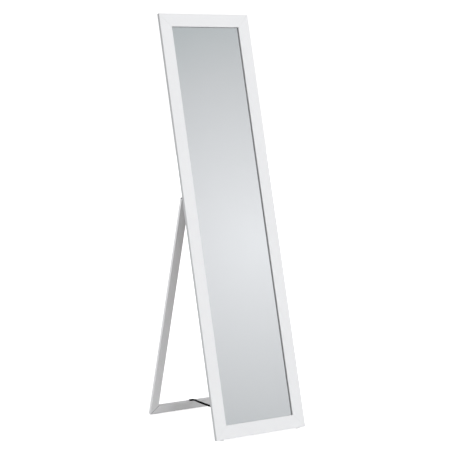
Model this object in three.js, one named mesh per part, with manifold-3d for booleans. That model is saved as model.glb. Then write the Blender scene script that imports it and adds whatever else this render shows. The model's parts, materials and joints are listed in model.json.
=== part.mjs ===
// Free-standing full-length floor mirror: a flat white frame that leans back on a hinged rear leg,
// with a black strap that stops the leg from opening further. Millimetres, +Z up. The origin is on
// the floor, under the middle of the whole object, and the mirror faces -Y.

import * as THREE from 'three';
import { mergeVertices } from 'three/addons/utils/BufferGeometryUtils.js';
import Module from 'manifold-3d';

const wasm = await Module();
wasm.setup();

// Driving dimensions
const WIDTH = 400;
const HEIGHT = 1600;
const THICKNESS = 13;
const FACE = 50;
const LEAN = THREE.MathUtils.degToRad(15);
const HINGE_HEIGHT = 900;
const LEG_STOCK = 34;
const FOOT_CLEARANCE = 2;
const PAD_THICKNESS = 1.6;
const SEAT_GAP = 0.3;
const WELD_DISTANCE = 1e-4;

// Frame moulding, rebated behind the sight edge for the mirror and its backing
const EDGE_CHAMFER = 0.8;
const LIP = 5;
const REBATE = 10;
const REBATE_CLEARANCE = 1;
const GLASS_THICKNESS = 3;
const BOARD_THICKNESS = 2.4;
const FRAME_MITRE_GAP = 0.2;
const LEG_MITRE_GAP = 0.7;

// Spring steel points that hold the backing board in the rebate
const POINT = { length: 15, reach: 12, thickness: 0.4, bottomX: 90 };
const POINT_HEIGHTS = [150, 583, 1017, 1450];

// Corner fasteners: V-nails driven from behind, astride each mitre
const V_NAIL = { arm: 6, spread: THREE.MathUtils.degToRad(55), thickness: 0.6, depth: 8, inset: 19 };

// Small steel butt hinges
const HINGE = { length: 32, leaf: 12, endLeaf: 10, thickness: 1.2, barrel: 2.7, pin: 1.2, gap: 0.4 };
const PIN_CLEARANCE = 0.25;
const PIN_END_GAP = 0.2;
const HINGE_SCREW_SPACING = 16;
const SCREW = { head: 2.7, headHeight: 1.5, shank: 1.25, length: 10.5, rim: 0.2 };

// Strap of woven webbing, and the round-headed screws and washers that hold its ends
const STRAP_WIDTH = 13;
const STRAP_THICKNESS = 1.6;
const STRAP_PANEL_HEIGHT = 34;
const STRAP_TAIL_REACH = 20;
const WASHER = { outer: 5, inner: 1.7, thickness: 0.8 };
const ROUND_SCREW = { head: 3.2, headHeight: 1.8, shank: 1.25, length: 9 };

// Points of all screws, the cross slots in their heads, and the room round their shanks
const SCREW_POINT = { radiusShare: 0.4, blunt: 0.6, length: 2 };
const CROSS_SLOT = { reach: 1.5, half: 0.3, depth: 0.9 };
const SHANK_CLEARANCE = SEAT_GAP + 0.05;
const THROUGH = 20;

// The strap's middle line from the mirror to the leg, as [y, z] in the part's own frame
const STRAP_ROUTE = [
  [-224.2, 26.4],
  [-222.6, 32.2],
  [-221.1, 38],
  [-220.7, 39.4],
  [-220.1, 40.6],
  [-219.2, 41.6],
  [-218, 42.2],
  [-214, 42.6],
  [-200, 42.3],
  [-150, 41.2],
  [-100, 40.3],
  [-50, 39.4],
  [0, 38.5],
  [50, 37.7],
  [100, 36.9],
  [150, 36.2],
  [200, 35.5],
  [222, 35.2],
];

const PAD = { width: 14, inset: 30, panelFront: 7, legFront: 4, rear: 1.5 };

// Derived sizes
const AXIS_OFFSET = HINGE.barrel + SEAT_GAP;
const LEG_LENGTH = HINGE_HEIGHT - AXIS_OFFSET - FOOT_CLEARANCE;
const LEG_FRONT = -(AXIS_OFFSET - HINGE.gap);
const LEG_BACK = LEG_FRONT + THICKNESS;
const LEG_FOOT = -(AXIS_OFFSET + LEG_LENGTH);
const PANEL_LIFT = PAD_THICKNESS + THICKNESS * Math.sin(LEAN);
const GLASS_FRONT = LIP + SEAT_GAP;
const BOARD_FRONT = GLASS_FRONT + GLASS_THICKNESS + SEAT_GAP;
const POINT_FRONT = BOARD_FRONT + BOARD_THICKNESS + SEAT_GAP;
const HINGE_X = (WIDTH - LEG_STOCK) / 2;
const LEG_RAIL_TOP = LEG_FOOT + LEG_STOCK;
const LEG_RAIL_MIDDLE = (LEG_FRONT + LEG_BACK) / 2;
const STRAP_STACK = STRAP_THICKNESS + WASHER.thickness + 3 * SEAT_GAP;
const LEG_TILT = legTilt();

const materials = {
  lacquer: { color: 0xeceeef, roughness: 0.45, metalness: 0 },
  mirror: { color: 0xdfe5e6, roughness: 0.03, metalness: 1 },
  hardboard: { color: 0x83766a, roughness: 0.8, metalness: 0 },
  darkSteel: { color: 0x6a6b6e, roughness: 0.4, metalness: 1 },
  blackSteel: { color: 0x1b1b1c, roughness: 0.4, metalness: 0.9 },
  webbing: { color: 0x0d0d0e, roughness: 0.85, metalness: 0 },
  felt: { color: 0xe4e4e2, roughness: 0.95, metalness: 0 },
};

const model = new THREE.Group();
const panel = new THREE.Group();
const leg = new THREE.Group();
panel.rotation.x = -LEAN;
panel.position.z = PANEL_LIFT;
leg.position.set(0, THICKNESS + AXIS_OFFSET, HINGE_HEIGHT);
leg.rotation.x = LEAN + LEG_TILT;
model.add(panel);
panel.add(leg);

// The angle of the leg from the vertical at which its foot pads reach the floor.
function legTilt() {
  const axisHeight = PANEL_LIFT + HINGE_HEIGHT * Math.cos(LEAN) - (THICKNESS + AXIS_OFFSET) * Math.sin(LEAN);
  const radius = Math.hypot(LEG_FRONT, LEG_FOOT);
  return Math.acos((axisHeight - PAD_THICKNESS) / radius) + Math.atan2(-LEG_FRONT, -LEG_FOOT);
}

function piece(parent, name, geometry, material) {
  const mesh = new THREE.Mesh(geometry, new THREE.MeshStandardMaterial(materials[material]));
  mesh.name = name;
  parent.add(mesh);
  return mesh;
}

function toSolid(geometry) {
  const bare = geometry.clone();
  bare.deleteAttribute('normal');
  bare.deleteAttribute('uv');
  const merged = mergeVertices(bare, WELD_DISTANCE);
  const vertProperties = new Float32Array(merged.attributes.position.array);
  const triVerts = new Uint32Array(merged.index.array);
  return new wasm.Manifold(new wasm.Mesh({ numProp: 3, vertProperties, triVerts }));
}

function toGeometry(solid) {
  const mesh = solid.getMesh();
  const geometry = new THREE.BufferGeometry();
  geometry.setAttribute('position', new THREE.BufferAttribute(new Float32Array(mesh.vertProperties), 3));
  geometry.setIndex(new THREE.BufferAttribute(new Uint32Array(mesh.triVerts), 1));
  return geometry;
}

function cut(geometry, cutters) {
  return toGeometry(cutters.reduce((solid, cutter) => solid.subtract(toSolid(cutter)), toSolid(geometry)));
}

function box(low, high) {
  const size = high.map((value, i) => value - low[i]);
  const centre = high.map((value, i) => (value + low[i]) / 2);
  return new THREE.BoxGeometry(...size).translate(...centre);
}

// A cylinder along +Z from the origin.
function rod(radius, length, segments = 16) {
  return new THREE.CylinderGeometry(radius, radius, length, segments)
    .rotateX(Math.PI / 2)
    .translate(0, 0, length / 2);
}

// A bar along +Z with the given section, whose points are [distance in from the outer edge, depth].
// A mitred end is cut back by each point's distance from the outer edge.
function bar(section, outerX, inward, length, mitres, gap) {
  const points = section.map(([inset, depth]) => new THREE.Vector2(outerX + inward * inset, depth));
  const geometry = new THREE.ExtrudeGeometry(new THREE.Shape(points), { depth: length, bevelEnabled: false });
  const position = geometry.attributes.position;
  for (let i = 0; i < position.count; i += 1) {
    const inset = (position.getX(i) - outerX) * inward;
    const atEnd = position.getZ(i) > length / 2;
    if (atEnd && mitres.end) position.setZ(i, length - inset - gap);
    if (!atEnd && mitres.start) position.setZ(i, inset + gap);
  }
  return geometry;
}

// Turns a bar along +Z into a rail along +X: its X becomes -Z.
function asRail(geometry) {
  return geometry.rotateY(Math.PI / 2);
}

const both = { start: true, end: true };
const startOnly = { start: true, end: false };

function frameSection() {
  return [
    [EDGE_CHAMFER, 0],
    [FACE - EDGE_CHAMFER, 0],
    [FACE, EDGE_CHAMFER],
    [FACE, LIP],
    [FACE - REBATE, LIP],
    [FACE - REBATE, THICKNESS],
    [EDGE_CHAMFER, THICKNESS],
    [0, THICKNESS - EDGE_CHAMFER],
    [0, EDGE_CHAMFER],
  ];
}

function legSection() {
  return [
    [EDGE_CHAMFER, LEG_FRONT],
    [LEG_STOCK - EDGE_CHAMFER, LEG_FRONT],
    [LEG_STOCK, LEG_FRONT + EDGE_CHAMFER],
    [LEG_STOCK, LEG_BACK - EDGE_CHAMFER],
    [LEG_STOCK - EDGE_CHAMFER, LEG_BACK],
    [EDGE_CHAMFER, LEG_BACK],
    [0, LEG_BACK - EDGE_CHAMFER],
    [0, LEG_FRONT + EDGE_CHAMFER],
  ];
}

// A V-nail seen from behind in the XZ plane, driven in from the depth "back". Its fold lies on the
// mitre of the corner and its arms run into the two bars; side and level are -1 or 1 and say which
// corner it is. The slot for it is the same shape, larger all round by growth.
function vNail(corner, back, growth = 0) {
  const half = V_NAIL.thickness / 2 + growth;
  const reach = V_NAIL.arm + growth;
  const tip = half / Math.sin(V_NAIL.spread);
  const inward = [-corner.side, -corner.level];
  const point = (along, across) => new THREE.Vector2(
    (along - across) * Math.SQRT1_2 * inward[0],
    (along + across) * Math.SQRT1_2 * inward[1],
  );
  const armEnd = (side, face) => point(
    reach * Math.cos(V_NAIL.spread) - side * face * half * Math.sin(V_NAIL.spread),
    side * reach * Math.sin(V_NAIL.spread) + face * half * Math.cos(V_NAIL.spread),
  );
  const shape = new THREE.Shape([
    point(-tip, 0),
    armEnd(-1, -1),
    armEnd(-1, 1),
    point(tip, 0),
    armEnd(1, -1),
    armEnd(1, 1),
  ]);
  const depth = V_NAIL.depth + 2 * growth;
  return new THREE.ExtrudeGeometry(shape, { depth, bevelEnabled: false })
    .rotateX(Math.PI / 2)
    .translate(corner.x, back + growth, corner.z);
}

function vNailCorner(side, level, outerZ, inset) {
  return { side, level, x: side * (WIDTH / 2 - inset), z: outerZ - level * inset };
}

const frameCorners = [
  vNailCorner(-1, -1, 0, V_NAIL.inset),
  vNailCorner(1, -1, 0, V_NAIL.inset),
  vNailCorner(-1, 1, HEIGHT, V_NAIL.inset),
  vNailCorner(1, 1, HEIGHT, V_NAIL.inset),
];
const legCorners = [
  vNailCorner(-1, -1, LEG_FOOT, LEG_STOCK / 2),
  vNailCorner(1, -1, LEG_FOOT, LEG_STOCK / 2),
];
const cornerNames = ['lower_left', 'lower_right', 'upper_left', 'upper_right'];

// The start of a screw's profile, from its point to the full width of its shank.
function screwPoint({ shank, length }) {
  const { radiusShare, blunt, length: taper } = SCREW_POINT;
  return [[0, -length], [shank * radiusShare, blunt - length], [shank, taper - length]];
}

// Screw with a countersunk head whose flat top is at the origin and whose point is down at -Z.
function countersunkScrew() {
  const { head, headHeight, rim, shank } = SCREW;
  const profile = screwPoint(SCREW);
  profile.push([shank, -headHeight], [head, -rim], [head, 0], [0, 0]);
  return crossRecess(lathe(profile), 0);
}

// Screw with a low round head standing on Z = 0 and its point down at -Z.
function roundScrew() {
  const { head, headHeight, shank } = ROUND_SCREW;
  const dome = [[1, 0.45], [0.72, 0.85], [0.4, 1], [0, 1]];
  const profile = screwPoint(ROUND_SCREW);
  profile.push([shank, 0], [head, 0]);
  dome.forEach(([radiusShare, heightShare]) => profile.push([head * radiusShare, headHeight * heightShare]));
  return crossRecess(lathe(profile), headHeight);
}

function lathe(profile, segments = 16) {
  const points = profile.map(([radius, z]) => new THREE.Vector2(radius, z));
  return new THREE.LatheGeometry(points, segments).rotateX(Math.PI / 2);
}

// Cuts a cross slot into a screw head whose top is at the given height.
function crossRecess(geometry, top) {
  const { reach, half, depth } = CROSS_SLOT;
  return cut(geometry, [
    box([-reach, -half, top - depth], [reach, half, top + 1]),
    box([-half, -reach, top - depth], [half, reach, top + 1]),
  ]);
}

// Clearance in wood around a screw's shank and point, from Z = 0 down.
function pilotHole(screw) {
  return rod(screw.shank + SHANK_CLEARANCE, screw.length + 1, 12).translate(0, 0, -screw.length - 0.5);
}

// One leaf of a hinge whose axis is X. Its plate lies along the barrel's -Y side and runs towards +Z
// or -Z. Knuckles are [low, high] stretches of the axis; the plate is cut away beside the other leaf's.
function hingeLeaf(knuckles, otherKnuckles, leafLength, direction) {
  const { length, thickness, barrel, pin, gap } = HINGE;
  const clear = barrel + gap;
  const plate = box(
    [-length / 2, -barrel, Math.min(0, direction * leafLength)],
    [length / 2, thickness - barrel, Math.max(0, direction * leafLength)],
  );
  const notches = otherKnuckles.map(([low, high]) => (
    box([low - gap, -clear, -clear], [high + gap, clear, clear])
  ));
  let solid = toSolid(cut(plate, notches));
  knuckles.forEach(([low, high]) => {
    solid = solid.add(toSolid(rod(barrel, high - low, 20).rotateY(Math.PI / 2).translate(low, 0, 0)));
  });
  const bore = rod(pin + PIN_CLEARANCE, length + 2, 16).rotateY(Math.PI / 2).translate(-length / 2 - 1, 0, 0);
  solid = solid.subtract(toSolid(bore));
  hingeScrewPlaces(leafLength).forEach(([x, y, z]) => {
    const hole = countersink().rotateX(-Math.PI / 2).translate(x, y, direction * z);
    solid = solid.subtract(toSolid(hole));
  });
  return toGeometry(solid);
}

// Countersunk hole that leaves the seat gap round a countersunk screw.
function countersink() {
  const { head, headHeight, rim, shank } = SCREW;
  const wide = head + SEAT_GAP;
  const narrow = shank + SHANK_CLEARANCE;
  const through = -THROUGH / 2;
  const profile = [[0, through], [narrow, through], [narrow, -headHeight - rim]];
  profile.push([wide, -rim], [wide, 1], [0, 1]);
  return lathe(profile);
}

// Tops of the screw heads, on the plate's outer face.
function hingeScrewPlaces(leafLength) {
  const { thickness, barrel } = HINGE;
  const z = (leafLength + barrel) / 2 + SEAT_GAP;
  return [-1, 1].map((side) => [side * HINGE_SCREW_SPACING / 2, thickness - barrel, z]);
}

const knuckleLength = (HINGE.length - 2 * HINGE.gap) / 3;
const outerKnuckles = [
  [-HINGE.length / 2, -HINGE.length / 2 + knuckleLength],
  [HINGE.length / 2 - knuckleLength, HINGE.length / 2],
];
const middleKnuckle = [[-knuckleLength / 2, knuckleLength / 2]];

// Places of the hinge screws in the panel and in the end grain of the leg.
function panelHingeScrews(side) {
  return hingeScrewPlaces(HINGE.leaf).map(([x, y, z]) => (
    [side * HINGE_X + x, THICKNESS + AXIS_OFFSET + y, HINGE_HEIGHT + z]
  ));
}

function legHingeScrews(side) {
  return hingeScrewPlaces(HINGE.endLeaf).map(([x, y, z]) => [side * HINGE_X + x, z, y]);
}

// Spring steel points along the rebate: each is [name, x, z, outward direction].
const pointReach = WIDTH / 2 - FACE + REBATE;
const steelPoints = [
  ...POINT_HEIGHTS.map((z, i) => [`backing_point_left_${i + 1}`, -pointReach, z, [-1, 0]]),
  ...POINT_HEIGHTS.map((z, i) => [`backing_point_right_${i + 1}`, pointReach, z, [1, 0]]),
  ['backing_point_top', 0, HEIGHT - FACE + REBATE, [0, 1]],
  ['backing_point_bottom', POINT.bottomX, FACE - REBATE, [0, -1]],
];

// A point half in the wood and half over the board; its slot is larger by growth.
function backingPoint([, x, z, outward], growth = 0) {
  const half = POINT.length / 2 + growth;
  const outer = POINT.reach / 2 + growth;
  const reach = outward.map((part) => (part ? outer : half));
  return box(
    [x - reach[0], POINT_FRONT - growth, z - reach[1]],
    [x + reach[0], POINT_FRONT + POINT.thickness + growth, z + reach[1]],
  );
}

function buildFrame() {
  const slots = [
    ...frameCorners.map((corner) => vNail(corner, THICKNESS, SEAT_GAP)),
    ...steelPoints.map((point) => backingPoint(point, SEAT_GAP)),
  ];
  const stile = bar(frameSection(), -WIDTH / 2, 1, HEIGHT, both, FRAME_MITRE_GAP);
  const otherStile = bar(frameSection(), WIDTH / 2, -1, HEIGHT, both, FRAME_MITRE_GAP);
  const low = bar(frameSection(), 0, -1, WIDTH, both, FRAME_MITRE_GAP);
  const high = bar(frameSection(), -HEIGHT, 1, WIDTH, both, FRAME_MITRE_GAP);
  const pilots = [-1, 1].map((side) => panelHingeScrews(side).map((place) => (
    pilotHole(SCREW).rotateX(-Math.PI / 2).translate(...place)
  )));
  const strapPilot = pilotHole(ROUND_SCREW).rotateX(-Math.PI / 2).translate(...strapPanelScrew());
  piece(panel, 'frame_left_stile', cut(stile, [...slots, ...pilots[0]]), 'lacquer');
  piece(panel, 'frame_right_stile', cut(otherStile, [...slots, ...pilots[1]]), 'lacquer');
  const lowRail = asRail(low).translate(-WIDTH / 2, 0, 0);
  const highRail = asRail(high).translate(-WIDTH / 2, 0, 0);
  piece(panel, 'frame_bottom_rail', cut(lowRail, [...slots, strapPilot]), 'lacquer');
  piece(panel, 'frame_top_rail', cut(highRail, slots), 'lacquer');
  frameCorners.forEach((corner, i) => {
    piece(panel, `frame_v_nail_${cornerNames[i]}`, vNail(corner, THICKNESS), 'darkSteel');
  });
}

function buildMirror() {
  const halfWidth = WIDTH / 2 - FACE + REBATE - REBATE_CLEARANCE;
  const low = FACE - REBATE + REBATE_CLEARANCE;
  const sheet = (front, thickness) => (
    box([-halfWidth, front, low], [halfWidth, front + thickness, HEIGHT - low])
  );
  piece(panel, 'mirror_glass', sheet(GLASS_FRONT, GLASS_THICKNESS), 'mirror');
  piece(panel, 'backing_board', sheet(BOARD_FRONT, BOARD_THICKNESS), 'hardboard');
  steelPoints.forEach((point) => piece(panel, point[0], backingPoint(point), 'darkSteel'));
}

function buildLeg() {
  const slots = legCorners.map((corner) => vNail(corner, LEG_BACK, SEAT_GAP));
  [-1, 1].forEach((side) => {
    const name = side < 0 ? 'left' : 'right';
    const stile = bar(legSection(), side * WIDTH / 2, -side, LEG_LENGTH, startOnly, LEG_MITRE_GAP)
      .translate(0, 0, LEG_FOOT);
    const pilots = legHingeScrews(side).map((place) => pilotHole(SCREW).translate(...place));
    piece(leg, `leg_${name}_stile`, cut(stile, [...slots, ...pilots]), 'lacquer');
  });
  const railBar = bar(legSection(), -LEG_FOOT, -1, WIDTH, both, LEG_MITRE_GAP);
  const rail = asRail(railBar).translate(-WIDTH / 2, 0, 0);
  const strapPilot = pilotHole(ROUND_SCREW).translate(...strapLegScrew());
  piece(leg, 'leg_bottom_rail', cut(rail, [...slots, strapPilot]), 'lacquer');
  legCorners.forEach((corner, i) => {
    piece(leg, `leg_v_nail_${cornerNames[i]}`, vNail(corner, LEG_BACK), 'darkSteel');
  });
}

function buildHinges() {
  [-1, 1].forEach((side) => {
    const name = side < 0 ? 'left' : 'right';
    const x = side * HINGE_X;
    const panelLeaf = hingeLeaf(outerKnuckles, middleKnuckle, HINGE.leaf, 1);
    const legLeaf = hingeLeaf(middleKnuckle, outerKnuckles, HINGE.endLeaf, -1).rotateX(Math.PI / 2);
    piece(panel, `hinge_panel_leaf_${name}`, panelLeaf, 'darkSteel')
      .position.set(x, THICKNESS + AXIS_OFFSET, HINGE_HEIGHT);
    piece(leg, `hinge_leg_leaf_${name}`, legLeaf, 'darkSteel').position.set(x, 0, 0);
    const pin = rod(HINGE.pin, HINGE.length - 2 * PIN_END_GAP, 16).rotateY(Math.PI / 2);
    pin.translate(-HINGE.length / 2 + PIN_END_GAP, 0, 0);
    piece(panel, `hinge_pin_${name}`, pin, 'darkSteel')
      .position.set(x, THICKNESS + AXIS_OFFSET, HINGE_HEIGHT);
    panelHingeScrews(side).forEach((place, i) => {
      const screw = countersunkScrew().rotateX(-Math.PI / 2);
      piece(panel, `hinge_panel_screw_${name}_${i + 1}`, screw, 'darkSteel').position.set(...place);
    });
    legHingeScrews(side).forEach((place, i) => {
      piece(leg, `hinge_leg_screw_${name}_${i + 1}`, countersunkScrew(), 'darkSteel').position.set(...place);
    });
  });
}

// A washer lying on Z = 0.
function washer() {
  const { outer, inner, thickness } = WASHER;
  return cut(rod(outer, thickness, 20), [rod(inner, thickness + 2, 12).translate(0, 0, -1)]);
}

// A flat ribbon across X that follows a route of [y, z] points.
function ribbon(route) {
  const half = STRAP_THICKNESS / 2;
  const sides = route.map(([y, z], i) => {
    const [y0, z0] = route[Math.max(i - 1, 0)];
    const [y1, z1] = route[Math.min(i + 1, route.length - 1)];
    const length = Math.hypot(y1 - y0, z1 - z0);
    const normal = [(z0 - z1) / length * half, (y1 - y0) / length * half];
    return [[-z - normal[1], y + normal[0]], [-z + normal[1], y - normal[0]]];
  });
  const edge = [...sides.map((side) => side[0]), ...sides.map((side) => side[1]).reverse()];
  const shape = new THREE.Shape(edge.map(([x, y]) => new THREE.Vector2(x, y)));
  const geometry = new THREE.ExtrudeGeometry(shape, { depth: STRAP_WIDTH, bevelEnabled: false });
  return asRail(geometry).translate(-STRAP_WIDTH / 2, 0, 0);
}

// The folded end of the strap, which lies along the top of the leg's rail and turns at a 45 degree
// fold towards the mirror.
function strapTail() {
  const half = STRAP_WIDTH / 2;
  const front = LEG_RAIL_MIDDLE - half;
  const shape = new THREE.Shape([
    new THREE.Vector2(-STRAP_TAIL_REACH, front),
    new THREE.Vector2(half, front),
    new THREE.Vector2(-half, front + STRAP_WIDTH),
    new THREE.Vector2(-STRAP_TAIL_REACH, front + STRAP_WIDTH),
  ]);
  return new THREE.ExtrudeGeometry(shape, { depth: STRAP_THICKNESS, bevelEnabled: false })
    .translate(0, 0, LEG_RAIL_TOP + SEAT_GAP);
}

// Undersides of the strap screws' heads.
function strapPanelScrew() {
  return [0, THICKNESS + STRAP_STACK, STRAP_PANEL_HEIGHT];
}

function strapLegScrew() {
  return [-STRAP_TAIL_REACH + STRAP_WIDTH / 2, LEG_RAIL_MIDDLE, LEG_RAIL_TOP + STRAP_STACK];
}

function buildStrap() {
  const screwHole = () => rod(WASHER.inner, THROUGH, 12).translate(0, 0, -THROUGH / 2);
  const [panelScrew, legScrew] = [strapPanelScrew(), strapLegScrew()];
  const washerDrop = WASHER.thickness + SEAT_GAP;
  const toPanel = (geometry) => geometry.rotateX(-Math.PI / 2);
  const panelWasher = toPanel(washer().translate(0, 0, -washerDrop));
  piece(panel, 'strap_washer_mirror', panelWasher, 'blackSteel').position.set(...panelScrew);
  piece(panel, 'strap_screw_mirror', toPanel(roundScrew()), 'blackSteel').position.set(...panelScrew);
  const legWasher = washer().translate(0, 0, -washerDrop);
  piece(leg, 'strap_washer_leg', legWasher, 'blackSteel').position.set(...legScrew);
  piece(leg, 'strap_screw_leg', roundScrew(), 'blackSteel').position.set(...legScrew);
  const tail = cut(strapTail(), [screwHole().translate(...legScrew)]);
  piece(leg, 'strap_tail', tail, 'webbing');
  const hole = toPanel(screwHole()).translate(...panelScrew);
  hole.applyMatrix4(panel.matrixWorld);
  piece(model, 'strap', cut(ribbon(STRAP_ROUTE), [hole]), 'webbing');
}

// A felt pad between the slanted end of a bar and the floor. Its top follows the bar's lower face
// from one depth to another, and its underside is level.
function pad(group, depths, level, x) {
  const top = depths.map((y) => group.localToWorld(new THREE.Vector3(0, y, level)));
  const section = [[top[0].z, top[0].y], [top[1].z, top[1].y], [0, top[1].y], [0, top[0].y]];
  const shape = new THREE.Shape(section.map(([z, y]) => new THREE.Vector2(-z, y)));
  const geometry = new THREE.ExtrudeGeometry(shape, { depth: PAD.width, bevelEnabled: false });
  return asRail(geometry).translate(x - PAD.width / 2, 0, 0);
}

function buildPads() {
  [-1, 1].forEach((side) => {
    const name = side < 0 ? 'left' : 'right';
    const x = side * (WIDTH / 2 - PAD.inset);
    const front = pad(panel, [PAD.panelFront, THICKNESS - PAD.rear], -SEAT_GAP, x);
    const rear = pad(leg, [LEG_FRONT + PAD.legFront, LEG_BACK - PAD.rear], LEG_FOOT - SEAT_GAP, x);
    piece(model, `mirror_pad_${name}`, front, 'felt');
    piece(model, `leg_pad_${name}`, rear, 'felt');
  });
}

buildFrame();
buildMirror();
buildLeg();
buildHinges();

// The frame and leg are set so that the origin is under the middle of their outline.
model.updateMatrixWorld(true);
const outline = new THREE.Box3().setFromObject(model, true);
panel.position.y = -(outline.min.y + outline.max.y) / 2;
model.updateMatrixWorld(true);

buildStrap();
buildPads();

export default model;
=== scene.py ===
"""A free-standing floor mirror: a leaning white frame, a hinged white leg frame and a black strap.

Everything is in metres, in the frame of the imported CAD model: +Z up, the mirror faces -Y.
"""

import json
import math

import bmesh
import bpy
from mathutils import Matrix, Vector, noise


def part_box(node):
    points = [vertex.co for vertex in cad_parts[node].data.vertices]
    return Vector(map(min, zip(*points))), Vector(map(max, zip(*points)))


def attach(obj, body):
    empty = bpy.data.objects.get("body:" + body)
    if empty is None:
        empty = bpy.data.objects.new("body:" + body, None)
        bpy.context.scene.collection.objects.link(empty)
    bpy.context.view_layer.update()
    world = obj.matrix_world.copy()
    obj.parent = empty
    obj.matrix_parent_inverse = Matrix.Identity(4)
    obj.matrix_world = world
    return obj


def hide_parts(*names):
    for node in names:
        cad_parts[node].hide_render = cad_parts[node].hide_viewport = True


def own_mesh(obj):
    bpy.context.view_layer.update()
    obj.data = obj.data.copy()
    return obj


MM = 0.001

# Camera.
CAMERA_PLACE = Vector((-3.09785, -4.69680, 1.43640))
CAMERA_AZIMUTH = math.radians(-33.405)
CAMERA_ELEVATION = math.radians(6.947)
CAMERA_ROLL = math.radians(0.378)
SENSOR_WIDTH = 36.0
LENS = 118.83
CAMERA_REACH = 60

# Frame and leg. The leg's foot, its rail's top and its front are measured from the hinge.
HALF_WIDTH = 200 * MM
LEAN = math.radians(15.0)
LEG_TILT = math.radians(14.879)
LEG_FOOT = -898 * MM
RAIL_TOP = -864 * MM
RAIL_FRONT = -2.6 * MM

# Rounded edges of the white bars.
FRAME_SOFTNESS = 0.2 * MM
LEG_SOFTNESS = 0.35 * MM
SOFT_SEGMENTS = 3
SOFT_ANGLE = math.radians(25)

# Strap: a woven ribbon. Its route repeats part.mjs's points, as (y, z) at x = 0.
STRAP_WIDTH = 13 * MM
STRAP_THICKNESS = 1.6 * MM
STRAP_ROUTE_MM = [
    (-224.2, 26.4), (-222.6, 32.2), (-221.1, 38), (-220.7, 39.4), (-220.1, 40.6), (-219.2, 41.6),
    (-218, 42.2), (-214, 42.6), (-200, 42.3), (-150, 41.2), (-100, 40.3), (-50, 39.4), (0, 38.5),
    (50, 37.7), (100, 36.9), (150, 36.2), (200, 35.5), (222, 35.2),
]
STRAP_ROUTE = [Vector((0, y * MM, z * MM)) for y, z in STRAP_ROUTE_MM]
SMOOTHING_WINDOW = 5
RIB_PITCH = 1.1 * MM
RIB_HEIGHT = 0.07 * MM
RINGS_PER_RIB = 4
RIBBON_COLUMNS = 9
SELVEDGE = 1.1 * MM
SELVEDGE_LIFT = 0.8
EDGE_ROUNDING = 0.45
END_FADE = 0.6 * MM
END_THICKNESS = 0.55

# The free span banks and sags a little between its start, behind the lower rail, and the leg's rail.
SPAN_START = -214 * MM
STRAP_SAG = 1.8 * MM
STRAP_BANK = math.radians(8.5)
BANK_START = 25 * MM
BANK_LENGTH = 45 * MM

# The strap's folded end on the leg's rail.
FOLD_SPACING = 1.66 * MM
LIFT_LENGTH = 30 * MM
TAIL_CLEARANCE = 0.3 * MM
TAIL_REACH = 29.8 * MM
TAIL_FULLNESS = 1.3
TAIL_OVERHANG = 0.9 * MM
CURL_LENGTH = 8 * MM
CURL_RISE = 1.4 * MM

# Mirror silvering, in the gap behind the glass.
GLASS_THICKNESS = 3 * MM
SILVER_THICKNESS = 0.16 * MM
SILVER_GAP = 0.07 * MM
SILVER_MARGIN = 0.6 * MM

# Felt pads: how far their sides, tops and bottoms lie inside the CAD pads. The fuzz and the dents are
# (scale, size) of a noise.
PAD_CELLS = (44, 20, 4)
SIDE_INSET = 0.25 * MM
COARSE_FUZZ = (420, 0.15 * MM)
FINE_FUZZ = (1400, 0.12 * MM)
WAIST_SHARE = 0.6
TOP_INSET = 0.03 * MM
TOP_DENTS = (900, 0.05 * MM)
BOTTOM_INSET = 0.02 * MM

# Lacquer: its whites, and where it is greyer: painted shade on the frame's outer sides and the leg's front,
# and dark seams at the leg's mitres. Each pair of depths says where the grey is full and where it has
# ended:
# from the outer sides, from a mitre's plane and from the leg's front.
LACQUER_WHITES = ((0.806, 0.809, 0.812, 1), (0.838, 0.840, 0.842, 1))
GRAIN_WHITE = (0.778, 0.780, 0.782, 1)
GRAIN_DEPTH = 0.04 * MM
PEEL_DEPTH = 0.02 * MM
EDGE_SHADE_DEPTHS = (0.14 * MM, 0.7 * MM)
EDGE_SHADE_TONES = ((0.54, 0.545, 0.552, 1), (0.46, 0.463, 0.468, 1))
EDGE_SHADE_HEIGHTS = (0.8, 1.5)
SEAM_DEPTHS = (0.8 * MM, 1.28 * MM)
SEAM_TONE = (0.14, 0.14, 0.145, 1)
FRONT_SHADE_DEPTHS = (0.35 * MM, 0.7 * MM)
BLACK = (0, 0, 0, 1)

# The studio: a grey room with a soft glow, which the mirror shows, and large lamps, which it doesn't.
# The glow falls off with (distance from its direction, level, share of red).
GLOW_DIRECTION = Vector((0.5653, -0.7702, 0.2953)).normalized()
GLOW_FALL = [
    (0.0, 0.888, 1.0), (0.015, 0.862, 1.0), (0.04, 0.803, 1.0), (0.11, 0.640, 0.99), (0.15, 0.535, 0.955),
    (0.19, 0.465, 0.955), (0.26, 0.43, 0.96), (0.6, 0.44, 0.98), (1.4, 0.50, 0.99),
]
ROOM_TINT = (0.993, 0.984, 1.012)
BACKDROP_STRENGTH = 1.1
FLOOR_GLOW = 0.6
FLOOR_HALF = 12.0
LAMPS = [("left", (-1, 0, 0.35), 1.05), ("right", (0.7, -0.7, 0.35), 2.0)]
LAMP_SPREAD = math.radians(90)


# Mesh helpers.


def mesh_piece(name, vertices, faces, material, smooth=True):
    """A mesh object from vertices and faces, with outward normals."""
    mesh = bpy.data.meshes.new(name)
    mesh.from_pydata([tuple(v) for v in vertices], [], faces)
    work = bmesh.new()
    work.from_mesh(mesh)
    bmesh.ops.recalc_face_normals(work, faces=work.faces)
    work.to_mesh(mesh)
    work.free()
    for polygon in mesh.polygons:
        polygon.use_smooth = smooth
    mesh.materials.append(material)
    piece = bpy.data.objects.new(name, mesh)
    bpy.context.scene.collection.objects.link(piece)
    return piece


def tube_faces(rings, size):
    """Quads between successive rings of the same size, and a cap at each end."""
    faces = []
    for i in range(rings - 1):
        for j in range(size):
            k = (j + 1) % size
            faces.append((i * size + j, i * size + k, (i + 1) * size + k, (i + 1) * size + j))
    faces.append(tuple(range(size)))
    faces.append(tuple(range((rings - 1) * size, rings * size)))
    return faces


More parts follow.
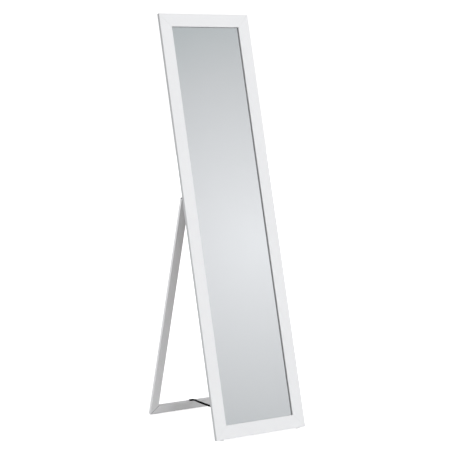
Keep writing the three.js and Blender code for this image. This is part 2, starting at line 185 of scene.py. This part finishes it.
def smoothstep(t):
    """From 0 to 1 with a level start and end, as t goes from 0 to 1."""
    t = min(max(t, 0.0), 1.0)
    return t * t * (3 - 2 * t)


# Node helpers.


class Nodes:
    """A new material and short ways to add nodes to it."""

    def __init__(self, name):
        self.material = bpy.data.materials.new(name)
        self.material.use_nodes = True
        self.tree = self.material.node_tree
        self.tree.nodes.clear()
        self.output = self.tree.nodes.new("ShaderNodeOutputMaterial")

    def add(self, kind, settings=None, **inputs):
        node = self.tree.nodes.new("ShaderNode" + kind)
        for key, value in (settings or {}).items():
            setattr(node, key, value)
        for key, value in inputs.items():
            self.feed(node.inputs[key.replace("_", " ")], value)
        return node

    def feed(self, socket, value):
        if isinstance(value, bpy.types.NodeSocket):
            self.tree.links.new(value, socket)
        elif isinstance(value, bpy.types.Node):
            self.tree.links.new(value.outputs[0], socket)
        else:
            socket.default_value = value

    def shader(self, bump=None, **inputs):
        node = self.add("BsdfPrincipled", **inputs)
        if bump is not None:
            self.tree.links.new(bump.outputs[0], node.inputs["Normal"])
        self.tree.links.new(node.outputs[0], self.output.inputs["Surface"])
        return self.material

    def place(self, rotation=(0, 0, 0), scale=(1, 1, 1), uv=None):
        """Object coordinates, or those of a UV map, turned and stretched."""
        if uv:
            source = self.add("UVMap", {"uv_map": uv}).outputs[0]
        else:
            source = self.add("TexCoord").outputs["Object"]
        node = self.add("Mapping", Vector=source)
        node.inputs["Rotation"].default_value = rotation
        node.inputs["Scale"].default_value = scale
        return node.outputs[0]

    def noise(self, place, scale, detail=3.0, roughness=0.5):
        return self.add("TexNoise", Vector=place, Scale=scale, Detail=detail, Roughness=roughness)

    def remap(self, value, low, high, source=(0.0, 1.0)):
        node = self.add("MapRange", Value=value)
        node.inputs["From Min"].default_value = source[0]
        node.inputs["From Max"].default_value = source[1]
        node.inputs["To Min"].default_value = low
        node.inputs["To Max"].default_value = high
        return node.outputs[0]

    def toward(self, direction):
        """How far each point lies along a direction, from the frame's origin."""
        node = self.add("VectorMath", {"operation": "DOT_PRODUCT"}, Vector=self.place())
        node.inputs[1].default_value = direction
        return node.outputs["Value"]

    def height(self):
        """How high each point lies."""
        return self.toward((0, 0, 1))

    def outward(self):
        """How far each point lies from the middle plane, left or right."""
        return self.math("ABSOLUTE", self.toward((1, 0, 0)))

    def inside(self):
        """How far each point lies inside the nearer outer side."""
        return self.math("SUBTRACT", HALF_WIDTH, self.outward())

    def blend(self, factor, a, b):
        node = self.add("Mix", {"data_type": "RGBA"})
        self.feed(node.inputs[0], factor)
        self.feed(node.inputs[6], a)
        self.feed(node.inputs[7], b)
        return node.outputs[2]

    def math(self, operation, *values):
        node = self.add("Math", {"operation": operation})
        for socket, value in zip(node.inputs, values):
            self.feed(socket, value)
        return node.outputs[0]

    def bump(self, height, depth, under=None):
        """A bump of that depth in metres, on top of another bump if there is one under it."""
        node = self.add("Bump", Height=height, Strength=1.0, Distance=depth)
        if under is not None:
            self.tree.links.new(under.outputs[0], node.inputs["Normal"])
        return node


# Materials.


def white_lacquer(name, tilt, along, recolour=None):
    """White lacquer over fine wood: a faint grain along the bar and orange peel.

    recolour(n, colour) changes the colour in some places: dark seams, or painted shade.
    """
    n = Nodes(name)
    stretch = {"z": (260, 260, 9), "x": (9, 260, 260)}[along]
    grain = n.noise(n.place((tilt, 0, 0), stretch), 1.0, detail=4.0, roughness=0.6)
    peel = n.noise(n.place(), 620.0, detail=2.0)
    drift = n.noise(n.place(), 5.0)
    tint = n.blend(drift.outputs["Fac"], *LACQUER_WHITES)
    streak = n.remap(grain.outputs["Fac"], 0.0, 0.25, (0.55, 0.8))
    colour = n.blend(streak, tint, GRAIN_WHITE)
    if recolour:
        colour = recolour(n, colour)
    gloss = n.remap(peel.outputs["Fac"], 0.30, 0.42)
    low = n.bump(grain.outputs["Fac"], GRAIN_DEPTH)
    high = n.bump(peel.outputs["Fac"], PEEL_DEPTH, under=low)
    return n.shader(high, Base_Color=colour, Roughness=gloss, IOR=1.5, Coat_Weight=0.12, Coat_Roughness=0.2)


def painted_edge_shade(n, colour):
    """Painted shade: the frame's outer edges are a greyer white, more so higher up."""
    edge = n.remap(n.inside(), 1.0, 0.0, EDGE_SHADE_DEPTHS)
    tone = n.blend(n.remap(n.height(), 0.0, 1.0, EDGE_SHADE_HEIGHTS), *EDGE_SHADE_TONES)
    return n.blend(edge, colour, tone)


def dark_seams(n, colour):
    """The leg's mitres show as thin dark seams, where a point is as far inside as it is above the foot."""
    above = n.math("SUBTRACT", n.toward(leg_up), hinge.dot(leg_up) + LEG_FOOT)
    away = n.math("ABSOLUTE", n.math("SUBTRACT", n.inside(), above))
    return n.blend(n.remap(away, 1.0, 0.0, SEAM_DEPTHS), colour, SEAM_TONE)


def leg_seams_and_painted_shade(level, start, end, darker, power, others=0.0):
    """What recolours a leg bar: dark seams, and painted shade on a front face that darkens from start to
    end.

    level(n) measures where each point lies between start and end. darker is the share of black at the
    end, power how late it sets in, and others the share of black on the bar's other faces; all of this
    black is painted shade.
    """

    def recolour(n, colour):
        colour = dark_seams(n, colour)
        # Painted shade: the front face darkens from start to end, and the other faces by the share others.
        behind = n.math("SUBTRACT", n.toward(leg_back), hinge.dot(leg_back) + RAIL_FRONT)
        facing = n.remap(behind, 1.0, 0.0, FRONT_SHADE_DEPTHS)
        far = n.math("POWER", n.remap(level(n), 0.0, 1.0, (start, end)), power)
        share = n.math("MULTIPLY", n.math("MULTIPLY", far, darker), facing)
        black = n.math("ADD", share, n.math("MULTIPLY_ADD", facing, -others, others))
        return n.blend(black, colour, BLACK)

    return recolour


def mirror_glass():
    """Float glass with a faint green tint, a little uneven."""
    n = Nodes("mirror_glass")
    cloud = n.noise(n.place(), 3.0, detail=4.0)
    colour = n.blend(cloud.outputs["Fac"], (0.982, 0.990, 0.987, 1), (0.990, 0.996, 0.994, 1))
    return n.shader(Base_Color=colour, Roughness=0.0, IOR=1.52, Transmission_Weight=1.0)


def mirror_silver():
    """The silver coat on the back of the glass, with a little unevenness in its tone."""
    n = Nodes("mirror_silver")
    cloud = n.noise(n.place(), 2.2)
    colour = n.blend(cloud.outputs["Fac"], (0.924, 0.944, 0.949, 1), (0.939, 0.955, 0.958, 1))
    return n.shader(Base_Color=colour, Metallic=1.0, Roughness=0.0)


def hardboard():
    """Brown hardboard: pressed fibres, small dark flecks and a dull sheen."""
    n = Nodes("hardboard")
    fibre = n.noise(n.place((0.4, 0, 0.5), (700, 700, 120)), 1.0, detail=5.0, roughness=0.65)
    fleck = n.noise(n.place(), 900.0, detail=2.0, roughness=0.7)
    drift = n.noise(n.place(), 7.0, detail=4.0)
    base = n.blend(fibre.outputs["Fac"], (0.185, 0.150, 0.120, 1), (0.300, 0.255, 0.212, 1))
    aged = n.blend(n.remap(drift.outputs["Fac"], 0.0, 0.45, (0.45, 0.8)), base, (0.150, 0.124, 0.100, 1))
    dots = n.remap(fleck.outputs["Fac"], 0.0, 0.7, (0.62, 0.75))
    colour = n.blend(dots, aged, (0.080, 0.064, 0.050, 1))
    gloss = n.remap(fibre.outputs["Fac"], 0.48, 0.70)
    return n.shader(n.bump(fibre.outputs["Fac"], 0.1 * MM), Base_Color=colour, Roughness=gloss, IOR=1.45)


def metal(name, dark, light, roughness, streaks, rust=None, rim=(1, 1, 1, 1)):
    """Plated or plain steel: fine rolling marks, a mottled tone and, if asked, a little tarnish."""
    n = Nodes(name)
    rolled = n.noise(n.place((0.3, 0.2, 0), streaks), 1.0, roughness=0.6)
    mottle = n.noise(n.place(), 420.0, detail=4.0, roughness=0.6)
    colour = n.blend(mottle.outputs["Fac"], dark, light)
    if rust:
        spots = n.remap(mottle.outputs["Fac"], 0.0, 0.5, (0.58, 0.78))
        colour = n.blend(spots, colour, rust)
    gloss = n.remap(rolled.outputs["Fac"], roughness - 0.08, roughness + 0.10)
    bump = n.bump(rolled.outputs["Fac"], 0.02 * MM)
    return n.shader(bump, Base_Color=colour, Metallic=1.0, Roughness=gloss, Specular_Tint=rim)


def black_webbing():
    """Black ribbed polyester: lengthwise yarns, lint and a soft sheen."""
    n = Nodes("black_webbing")
    weft = n.place(uv="weave")
    yarn = n.add("TexWave", {"bands_direction": "X"}, Vector=weft, Scale=520.0, Distortion=0.6)
    lint = n.noise(n.place(scale=(900, 900, 900)), 1.0, detail=4.0, roughness=0.7)
    weave = n.blend(yarn.outputs["Fac"], (0.0022, 0.0022, 0.0025, 1), (0.0060, 0.0060, 0.0068, 1))
    colour = n.blend(n.remap(lint.outputs["Fac"], 0.0, 0.3, (0.6, 0.85)), weave, (0.014, 0.014, 0.015, 1))
    gloss = n.remap(yarn.outputs["Fac"], 0.62, 0.80)
    low = n.bump(yarn.outputs["Fac"], 0.06 * MM)
    high = n.bump(lint.outputs["Fac"], 0.05 * MM, under=low)
    return n.shader(high, Base_Color=colour, Roughness=gloss, IOR=1.4, Specular_IOR_Level=0.0)


def white_felt():
    """Pressed white felt: tangled fibres of several pale greys."""
    n = Nodes("white_felt")
    tangle = n.noise(n.place(), 1500.0, detail=5.0, roughness=0.75)
    patch = n.noise(n.place(), 300.0)
    base = n.blend(tangle.outputs["Fac"], (0.84, 0.84, 0.83, 1), (0.96, 0.96, 0.955, 1))
    colour = n.blend(n.remap(patch.outputs["Fac"], 0.0, 0.4), base, (0.90, 0.90, 0.89, 1))
    bump = n.bump(tangle.outputs["Fac"], 0.3 * MM)
    return n.shader(bump, Base_Color=colour, Roughness=0.95, IOR=1.4, Sheen_Weight=0.4, Sheen_Roughness=0.4)


def floor_paper():
    """Seamless pale studio paper, which glows a little to the camera alone."""
    n = Nodes("floor_paper")
    fibre = n.noise(n.place(), 40.0, detail=4.0)
    colour = n.blend(fibre.outputs["Fac"], (0.93, 0.93, 0.93, 1), (0.95, 0.95, 0.95, 1))
    gloss = n.remap(fibre.outputs["Fac"], 0.85, 0.95)
    material = n.shader(Base_Color=colour, Roughness=gloss, IOR=1.3)
    lit = n.add("Emission", Color=(1, 1, 1, 1), Strength=FLOOR_GLOW)
    both = n.add("AddShader")
    paper = n.output.inputs["Surface"].links[0].from_socket
    n.tree.links.new(paper, both.inputs[0])
    n.tree.links.new(lit.outputs[0], both.inputs[1])
    mix = n.add("MixShader")
    n.tree.links.new(n.add("LightPath").outputs["Is Camera Ray"], mix.inputs[0])
    n.tree.links.new(paper, mix.inputs[1])
    n.tree.links.new(both.outputs[0], mix.inputs[2])
    n.tree.links.new(mix.outputs[0], n.output.inputs["Surface"])
    return material


# Scene: camera, lights and floor.


def add_camera():
    """The camera, turned by azimuth, elevation and roll."""
    right = Vector((math.cos(CAMERA_AZIMUTH), math.sin(CAMERA_AZIMUTH), 0))
    flat = math.cos(CAMERA_ELEVATION)
    back = Vector(
        (math.sin(CAMERA_AZIMUTH) * flat, -math.cos(CAMERA_AZIMUTH) * flat, math.sin(CAMERA_ELEVATION))
    )
    up = back.cross(right)
    turn = Matrix((right, up, back)).transposed() @ Matrix.Rotation(CAMERA_ROLL, 3, "Z")
    data = bpy.data.cameras.new("camera")
    data.sensor_width = SENSOR_WIDTH
    data.lens = LENS
    data.clip_end = CAMERA_REACH
    camera = bpy.data.objects.new("camera", data)
    camera.matrix_world = Matrix.Translation(CAMERA_PLACE) @ turn.to_4x4()
    bpy.context.scene.collection.objects.link(camera)
    bpy.context.scene.camera = camera


def room_light(tree):
    """The grey room that lights the object and shows in the mirror, with a soft glow in one direction."""
    direction = tree.nodes.new("ShaderNodeTexCoord")
    distance = tree.nodes.new("ShaderNodeVectorMath")
    distance.operation = "DISTANCE"
    tree.links.new(direction.outputs["Generated"], distance.inputs[0])
    distance.inputs[1].default_value = GLOW_DIRECTION
    reach = GLOW_FALL[-1][0]
    share = tree.nodes.new("ShaderNodeMapRange")
    share.inputs["From Max"].default_value = reach
    tree.links.new(distance.outputs["Value"], share.inputs["Value"])
    fall = tree.nodes.new("ShaderNodeValToRGB")
    tree.links.new(share.outputs[0], fall.inputs[0])
    elements = fall.color_ramp.elements
    while len(elements) < len(GLOW_FALL):
        elements.new(0.5)
    for element, (far, level, red) in zip(elements, GLOW_FALL):
        element.position = far / reach
        element.color = (level * red * ROOM_TINT[0], level * ROOM_TINT[1], level * ROOM_TINT[2], 1)
    room = tree.nodes.new("ShaderNodeBackground")
    tree.links.new(fall.outputs[0], room.inputs["Color"])
    return room


def add_studio():
    """The room, which the camera itself sees as a plain white backdrop."""
    world = bpy.data.worlds.new("studio")
    bpy.context.scene.world = world
    world.use_nodes = True
    tree = world.node_tree
    tree.nodes.clear()
    room = room_light(tree)
    plain = tree.nodes.new("ShaderNodeBackground")
    plain.inputs["Color"].default_value = (1, 1, 1, 1)
    plain.inputs["Strength"].default_value = BACKDROP_STRENGTH
    rays = tree.nodes.new("ShaderNodeLightPath")
    mix = tree.nodes.new("ShaderNodeMixShader")
    tree.links.new(rays.outputs["Is Camera Ray"], mix.inputs[0])
    tree.links.new(room.outputs[0], mix.inputs[1])
    tree.links.new(plain.outputs[0], mix.inputs[2])
    output = tree.nodes.new("ShaderNodeOutputWorld")
    tree.links.new(mix.outputs[0], output.inputs["Surface"])


def add_lamps():
    """Very wide, soft lamps, each named for where it stands, that the mirror doesn't show."""
    for name, place, strength in LAMPS:
        data = bpy.data.lights.new(name, "SUN")
        data.energy = strength
        data.angle = LAMP_SPREAD
        lamp = bpy.data.objects.new(name, data)
        lamp.matrix_world = Vector(place).to_track_quat("Z", "Y").to_matrix().to_4x4()
        lamp.visible_glossy = False
        lamp.visible_transmission = False
        bpy.context.scene.collection.objects.link(lamp)


def add_floor(material):
    """A wide pale floor that the object stands on."""
    half = FLOOR_HALF
    corners = [(-half, -half, 0), (half, -half, 0), (half, half, 0), (-half, half, 0)]
    floor = mesh_piece("floor", corners, [(0, 1, 2, 3)], material, smooth=False)


# Strap.


def along(route, spacing):
    """Points, tangents and distances at even steps along a route, turned smoothly at its points."""
    lengths = [0.0]
    for a, b in zip(route, route[1:]):
        lengths.append(lengths[-1] + (b - a).length)
    total = lengths[-1]
    count = round(total / spacing) + 1
    found = []
    segment = 0
    for i in range(count):
        s = total * i / (count - 1)
        while segment < len(route) - 2 and lengths[segment + 1] < s:
            segment += 1
        t = (s - lengths[segment]) / (lengths[segment + 1] - lengths[segment])
        found.append(route[segment].lerp(route[segment + 1], t))
    window = SMOOTHING_WINDOW
    smooth = [
        sum((found[min(max(i + k, 0), count - 1)] for k in range(-window, window + 1)), Vector())
        / (2 * window + 1)
        if window <= i < count - window else found[i]
        for i in range(count)
    ]
    tangents = [
        (smooth[min(i + 1, count - 1)] - smooth[max(i - 1, 0)]).normalized() for i in range(count)
    ]
    return smooth, tangents, [total * i / (count - 1) for i in range(count)]


def ribbon_section(s, fade):
    """The ribbon's outline at distance s: (across, height) points, ribbed, with thicker selvedges."""
    half = STRAP_WIDTH / 2
    flat = STRAP_THICKNESS / 2 - RIB_HEIGHT
    rib = 0.5 + 0.5 * math.cos(2 * math.pi * s / RIB_PITCH)
    top = []
    for i in range(RIBBON_COLUMNS):
        across = -half + STRAP_WIDTH * i / (RIBBON_COLUMNS - 1)
        selvedge = 1 - smoothstep((half - abs(across)) / SELVEDGE)
        height = flat + RIB_HEIGHT * (rib * (1 - selvedge) + SELVEDGE_LIFT * selvedge)
        if i in (0, RIBBON_COLUMNS - 1):
            height *= EDGE_ROUNDING
        top.append((across, height * fade))
    return top + [(across, -height) for across, height in reversed(top)]


def ribbon_piece(name, material, distances, shape):
    """A ribbon: shape(s, across, height) places each point of each cross-section."""
    last = distances[-1]
    vertices = []
    spread = []
    for s in distances:
        fade = END_THICKNESS + (1 - END_THICKNESS) * smoothstep(min(s, last - s) / END_FADE)
        section = ribbon_section(s, fade)
        for across, height in section:
            vertices.append(shape(s, across, height))
            spread.append((across, s))
    size = len(section)
    piece = mesh_piece(name, vertices, tube_faces(len(distances), size), material)
    layer = piece.data.uv_layers.new(name="weave")
    for loop in piece.data.loops:
        layer.data[loop.index].uv = spread[loop.vertex_index]
    return piece


def span_route():
    """The strap's route, a little lower in mid-span and raised onto the fold at its end."""
    end = STRAP_ROUTE[-1]
    route = []
    for point in STRAP_ROUTE:
        left = end.y - point.y
        lift = FOLD_SPACING * smoothstep(1 - left / LIFT_LENGTH)
        share = min(left / (end.y - SPAN_START), 1.0)
        lift -= STRAP_SAG * 4 * share * (1 - share)
        route.append(point + Vector((0, 0, lift)))
    return route


def build_strap(material):
    """The taut part of the strap, from the frame's lower rail to the leg's rail."""
    points, tangents, distances = along(span_route(), RIB_PITCH / RINGS_PER_RIB)
    places = dict(zip(distances, zip(points, tangents)))
    last = distances[-1]

    def shape(s, across, height):
        point, tangent = places[s]
        bank = STRAP_BANK * smoothstep(min(s - BANK_START, last - s) / BANK_LENGTH)
        side = Matrix.Rotation(-bank, 3, tangent) @ Vector((1, 0, 0))
        return point + side * across + side.cross(tangent) * height

    return ribbon_piece("strap_ribbon", material, distances, shape)


def build_tail(material):
    """The strap's end on the leg's rail: it folds over at 45 degrees and runs along the rail."""
    edge = hinge + leg_back * RAIL_FRONT + leg_up * RAIL_TOP
    radius = FOLD_SPACING / 2
    middle = TAIL_CLEARANCE + STRAP_THICKNESS / 2 + radius
    half = STRAP_WIDTH / 2
    turn = math.pi * radius / 2
    root = math.sqrt(0.5)

    def shape(s, across, height):
        height *= TAIL_FULLNESS
        outward = (across + s - half) * root
        sideways = (across - s) * root
        if outward < -turn:
            offset, rise = outward + turn, radius + height
        elif outward > turn:
            offset, rise = turn - outward, -(radius + height)
        else:
            angle = outward / radius
            offset, rise = (radius + height) * math.cos(angle), -(radius + height) * math.sin(angle)
        x = half / 2 + (offset + sideways) * root
        v = half / 2 + (offset - sideways) * root - TAIL_OVERHANG
        curl = max(s - TAIL_REACH + CURL_LENGTH, 0.0) / CURL_LENGTH
        rise += CURL_RISE * curl * curl
        return edge + Vector((x, 0, 0)) + leg_back * v + leg_up * (middle + rise)

    steps = round(TAIL_REACH / (RIB_PITCH / RINGS_PER_RIB))
    distances = [TAIL_REACH * i / steps for i in range(steps + 1)]
    return ribbon_piece("strap_tail_ribbon", material, distances, shape)


# Small pieces.


def build_silver(material):
    """A thin coat just behind the glass."""
    low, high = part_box("mirror_glass")
    up = Vector((0, math.sin(LEAN), math.cos(LEAN)))
    back = Vector((0, math.cos(LEAN), -math.sin(LEAN)))
    depth = GLASS_THICKNESS * math.sin(LEAN)
    bottom = Vector((0, low.y, low.z + depth))
    top_rise = (high.z - low.z - depth) / math.cos(LEAN) - SILVER_MARGIN
    half = high.x - SILVER_MARGIN
    outline = ((-half, SILVER_MARGIN), (half, SILVER_MARGIN), (half, top_rise), (-half, top_rise))
    front = GLASS_THICKNESS + SILVER_GAP
    corners = [
        bottom + Vector((x, 0, 0)) + up * rise + back * behind
        for behind in (front, front + SILVER_THICKNESS)
        for x, rise in outline
    ]
    faces = [(0, 1, 2, 3), (4, 7, 6, 5), (0, 4, 5, 1), (1, 5, 6, 2), (2, 6, 7, 3), (3, 7, 4, 0)]
    return mesh_piece("mirror_silvering", corners, faces, material, smooth=False)


def box_grid(a, b, c):
    """The cells on the surface of a box of a by b by c cells, each as four (i, j, k) corners."""
    quads = []
    for i in range(a):
        for j in range(b):
            for k in (0, c):
                quads.append([(i, j, k), (i + 1, j, k), (i + 1, j + 1, k), (i, j + 1, k)])
    for k in range(c):
        for i in range(a):
            for j in (0, b):
                quads.append([(i, j, k), (i + 1, j, k), (i + 1, j, k + 1), (i, j, k + 1)])
        for j in range(b):
            for i in (0, a):
                quads.append([(i, j, k), (i, j + 1, k), (i, j + 1, k + 1), (i, j, k + 1)])
    return quads


def fuzz_at(point, scale, size):
    """A smooth random height, up to size either way."""
    return noise.noise(point * scale) * size


def build_pad(node, material, slope):
    """A felt pad with fuzzy sides and a dented top, which rises by slope towards the back."""
    low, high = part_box(node)
    size = high - low

    def place(key):
        share = [key[axis] / PAD_CELLS[axis] for axis in range(3)]
        point = Vector(low[axis] + size[axis] * share[axis] for axis in range(3))
        from_high_side = size.y * (1 - share[1] if slope > 0 else share[1])
        point.z = low.z + (size.z - abs(slope) * from_high_side) * share[2]
        inset = SIDE_INSET + fuzz_at(point, *COARSE_FUZZ) + fuzz_at(point, *FINE_FUZZ)
        if key[2] == PAD_CELLS[2] // 2:
            inset *= WAIST_SHARE
        inward = [(share[axis] == 0) - (share[axis] == 1) for axis in range(2)]
        point += Vector((*inward, 0)) * inset
        if share[2] == 1:
            point.z -= TOP_INSET + abs(fuzz_at(point, *TOP_DENTS))
        if share[2] == 0:
            point.z += BOTTOM_INSET
        return point

    quads = box_grid(*PAD_CELLS)
    keys = sorted({key for quad in quads for key in quad})
    index = {key: i for i, key in enumerate(keys)}
    vertices = [place(key) for key in keys]
    faces = [[index[key] for key in quad] for quad in quads]
    return mesh_piece(node + "_felt", vertices, faces, material)


# CAD nodes.


def finish_node(node, material):
    """A CAD node shows this material."""
    slots = frame["nodes"][node].data.materials
    slots.clear()
    slots.append(material)


def soften(node, width):
    """Rounded, sprayed-over edges on a CAD node."""
    piece = frame["nodes"][node]
    bevel = piece.modifiers.new("soft_edges", "BEVEL")
    bevel.width = width
    bevel.segments = SOFT_SEGMENTS
    bevel.limit_method = "ANGLE"
    bevel.angle_limit = SOFT_ANGLE
    bevel.harden_normals = True
    for polygon in piece.data.polygons:
        polygon.use_smooth = True


def nodes_named(prefix):
    """The names of the CAD nodes that start with this."""
    return sorted(name for name in frame["nodes"] if name.startswith(prefix))


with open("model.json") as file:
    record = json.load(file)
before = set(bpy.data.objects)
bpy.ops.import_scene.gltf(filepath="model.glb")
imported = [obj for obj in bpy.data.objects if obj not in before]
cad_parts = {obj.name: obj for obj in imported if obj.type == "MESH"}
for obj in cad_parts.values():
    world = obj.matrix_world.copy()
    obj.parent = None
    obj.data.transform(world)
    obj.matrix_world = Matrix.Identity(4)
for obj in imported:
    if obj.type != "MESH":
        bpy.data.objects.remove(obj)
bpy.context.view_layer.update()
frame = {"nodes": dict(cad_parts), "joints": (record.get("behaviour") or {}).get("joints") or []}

# The leg's hinge, and the directions up along the leg and out of its back.
hinge = Vector(frame["joints"][0]["pos_m"])
leg_up = Vector((0, -math.sin(LEG_TILT), math.cos(LEG_TILT)))
leg_back = Vector((0, math.cos(LEG_TILT), math.sin(LEG_TILT)))

add_camera()

# Strap.
webbing = black_webbing()
strap = build_strap(webbing)
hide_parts("strap")
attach(strap, "mirror")
tail = build_tail(webbing)
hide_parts("strap_tail")
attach(tail, "leg")
strap_length = sum((b - a).length for a, b in zip(STRAP_ROUTE, STRAP_ROUTE[1:]))
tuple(STRAP_ROUTE[0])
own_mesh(strap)

# White bars.
# Painted shade: the frame's outer sides are greyer, more so higher up.
frame_upright = white_lacquer("lacquer_and_painted_shade_frame_upright", LEAN, "z", painted_edge_shade)
frame_across = white_lacquer("lacquer_frame_across", LEAN, "x")
# Painted shade: the leg's front darkens towards the hinge and towards the middle of its rail, and the
# rail's other faces are a little darker. The leg's mitres also get dark seams.
upright_seams_and_shade = leg_seams_and_painted_shade(Nodes.height, 0.15, 0.87, darker=0.34, power=3.5)
across_seams_and_shade = leg_seams_and_painted_shade(Nodes.outward, 0.17, 0.09, darker=0.18, power=1.7, others=0.14)
leg_upright = white_lacquer("lacquer_and_painted_shade_leg_upright", -LEG_TILT, "z", upright_seams_and_shade)
leg_across = white_lacquer("lacquer_and_painted_shade_leg_across", -LEG_TILT, "x", across_seams_and_shade)
for names, material, softness in (
    (("frame_left_stile", "frame_right_stile"), frame_upright, FRAME_SOFTNESS),
    (("frame_top_rail", "frame_bottom_rail"), frame_across, FRAME_SOFTNESS),
    (("leg_left_stile", "leg_right_stile"), leg_upright, LEG_SOFTNESS),
    (("leg_bottom_rail",), leg_across, LEG_SOFTNESS),
):
    for node in names:
        finish_node(node, material)
        soften(node, softness)

# Mirror and its backing.
finish_node("mirror_glass", mirror_glass())
silver = build_silver(mirror_silver())
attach(silver, "mirror")
finish_node("backing_board", hardboard())

# Metal parts.
spring = metal(
    "spring_steel", (0.30, 0.29, 0.28, 1), (0.42, 0.41, 0.40, 1), 0.38, (900, 900, 60),
    rust=(0.20, 0.14, 0.09, 1),
)
zinc = metal("dark_zinc", (0.10, 0.10, 0.104, 1), (0.19, 0.19, 0.196, 1), 0.34, (60, 900, 900))
steel = metal(
    "black_steel", (0.006, 0.006, 0.0065, 1), (0.014, 0.014, 0.015, 1), 0.5, (500, 500, 500),
    rim=(0.08, 0.08, 0.08, 1),
)
for material, prefixes in (
    (spring, ("backing_point", "frame_v_nail", "leg_v_nail")),
    (zinc, ("hinge_",)),
    (steel, ("strap_screw", "strap_washer")),
):
    for prefix in prefixes:
        for node in nodes_named(prefix):
            finish_node(node, material)

# Felt pads.
felt = white_felt()
for body, slope in (("mirror", -math.tan(LEAN)), ("leg", math.tan(LEG_TILT))):
    for node in nodes_named(body + "_pad"):
        pad = build_pad(node, felt, slope)
        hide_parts(node)
        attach(pad, body)

# Studio.
add_floor(floor_paper())
add_studio()
add_lamps()
view = bpy.context.scene.view_settings
view.view_transform = "Standard"
view.look = "None"
